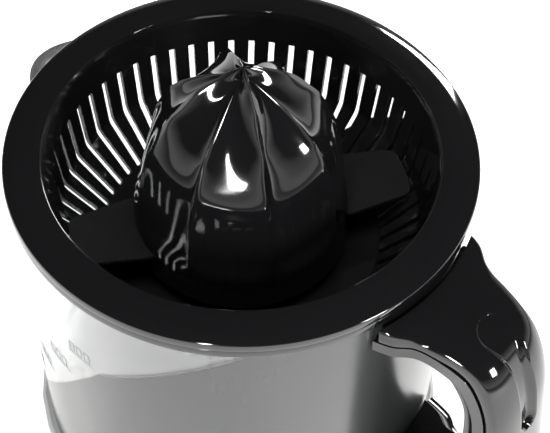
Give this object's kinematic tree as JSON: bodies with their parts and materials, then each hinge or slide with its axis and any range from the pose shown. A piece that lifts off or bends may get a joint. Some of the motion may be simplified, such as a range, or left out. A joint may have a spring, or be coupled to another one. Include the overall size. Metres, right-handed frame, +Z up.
{
  "type": "citrus press juicer",
  "caption": "Electric citrus press with a ridged cone in a slotted basket, on a clear juice jug with a handle and spout, over a flared steel motor base.",
  "frame": {"origin": "centre of the base plate's underside, on the drive axis", "axes": "+Z up along the drive axis, +X towards the jug's handle, -X towards the spout, +Y towards the mains inlet"},
  "size_m": [0.2244, 0.1755, 0.2485],
  "materials": {
    "gloss_black": "moulded, high gloss black",
    "satin_black": "moulded, fine satin texture",
    "silver_plastic": "moulded, silver pigment",
    "clear_jug": "clear moulded plastic",
    "brushed_steel": "brushed around the axis",
    "plain_steel": "zinc plated",
    "laminated_steel": "stacked sheet, varnished",
    "copper_winding": "enamelled wire under tape",
    "nylon": "moulded natural nylon",
    "rubber": "moulded, matt"
  },
  "bodies": {
    "base": {"base_skirt": "brushed_steel", "base_shell": "silver_plastic", "base_plate": "satin_black", "foot_1": "rubber", "foot_2": "rubber", "foot_3": "rubber", "foot_4": "rubber", "base_screw_1": "plain_steel", "base_screw_2": "plain_steel", "base_screw_3": "plain_steel", "base_screw_4": "plain_steel", "cord_inlet": "rubber", "gear_frame": "plain_steel", "frame_screw_1": "plain_steel", "frame_screw_2": "plain_steel", "frame_screw_3": "plain_steel", "motor_stator": "laminated_steel", "motor_coil": "copper_winding", "motor_bracket": "plain_steel", "motor_screw_1": "plain_steel", "motor_screw_2": "plain_steel", "idler_pin": "plain_steel", "lower_bush": "nylon", "upper_bush": "nylon", "shaft_seal": "rubber", "start_switch": "satin_black"},
    "rotor": {"motor_rotor": "laminated_steel", "motor_shaft": "plain_steel", "motor_pinion": "nylon"},
    "idler": {"idler_gear": "nylon"},
    "gear": {"drive_gear": "nylon", "return_spring": "plain_steel"},
    "shaft": {"drive_shaft": "plain_steel", "spring_washer": "plain_steel"},
    "button": {"switch_button": "nylon"},
    "jug": {"jug": "clear_jug", "jug_collar": "gloss_black", "handle_core": "gloss_black", "handle_cover": "gloss_black", "handle_screw_1": "plain_steel", "handle_screw_2": "plain_steel"},
    "basket": {"sieve_basket": "gloss_black"},
    "sweeper": {"sweeper": "gloss_black"},
    "spindle": {"drive_spindle": "nylon"},
    "small_cone": {"small_cone": "gloss_black"},
    "large_cone": {"large_cone": "gloss_black"}
  },
  "joints": [
    {"name": "jug_lift", "type": "slide", "parent": "base", "child": "jug", "axis": [0, 0, 1], "range_m": [0, 0.125]},
    {"name": "basket_lift", "type": "slide", "parent": "jug", "child": "basket", "axis": [0, 0, 1], "range_m": [0, 0.08]},
    {"name": "cone_spin", "type": "hinge", "parent": "basket", "child": "sweeper", "pos_m": [0, 0, 0.16], "axis": [0, 0, 1], "continuous": true},
    {"name": "cone_press", "type": "slide", "parent": "sweeper", "child": "spindle", "axis": [0, 0, 1], "range_m": [-0.002, 0], "stiffness_N_per_m": 4000, "springref_m": 0.0015},
    {"name": "small_cone_lift", "type": "slide", "parent": "spindle", "child": "small_cone", "axis": [0, 0, 1], "range_m": [0, 0.06]},
    {"name": "large_cone_lift", "type": "slide", "parent": "small_cone", "child": "large_cone", "axis": [0, 0, 1], "range_m": [0, 0.09]},
    {"name": "drive_gear_spin", "type": "hinge", "parent": "base", "child": "gear", "pos_m": [0, 0, 0.04], "axis": [0, 0, 1], "continuous": true},
    {"name": "shaft_press", "type": "slide", "parent": "gear", "child": "shaft", "axis": [0, 0, 1], "range_m": [-0.002, 0], "deforming": ["return_spring"]},
    {"name": "button_press", "type": "slide", "parent": "base", "child": "button", "axis": [0, 0, 1], "range_m": [-0.002, 0]},
    {"name": "idler_spin", "type": "hinge", "parent": "base", "child": "idler", "pos_m": [-0.0336, 0, 0.04], "axis": [0, 0, 1], "continuous": true},
    {"name": "rotor_spin", "type": "hinge", "parent": "base", "child": "rotor", "pos_m": [-0.0336, 0.0252, 0.04], "axis": [0, 0, 1], "continuous": true}
  ],
  "couplings": [
    {"joint": "drive_gear_spin", "follows": "cone_spin", "ratio": 1},
    {"joint": "idler_spin", "follows": "cone_spin", "ratio": -2.5},
    {"joint": "rotor_spin", "follows": "cone_spin", "ratio": 6.25},
    {"joint": "shaft_press", "follows": "cone_press", "ratio": 1},
    {"joint": "button_press", "follows": "cone_press", "ratio": 1}
  ]
}
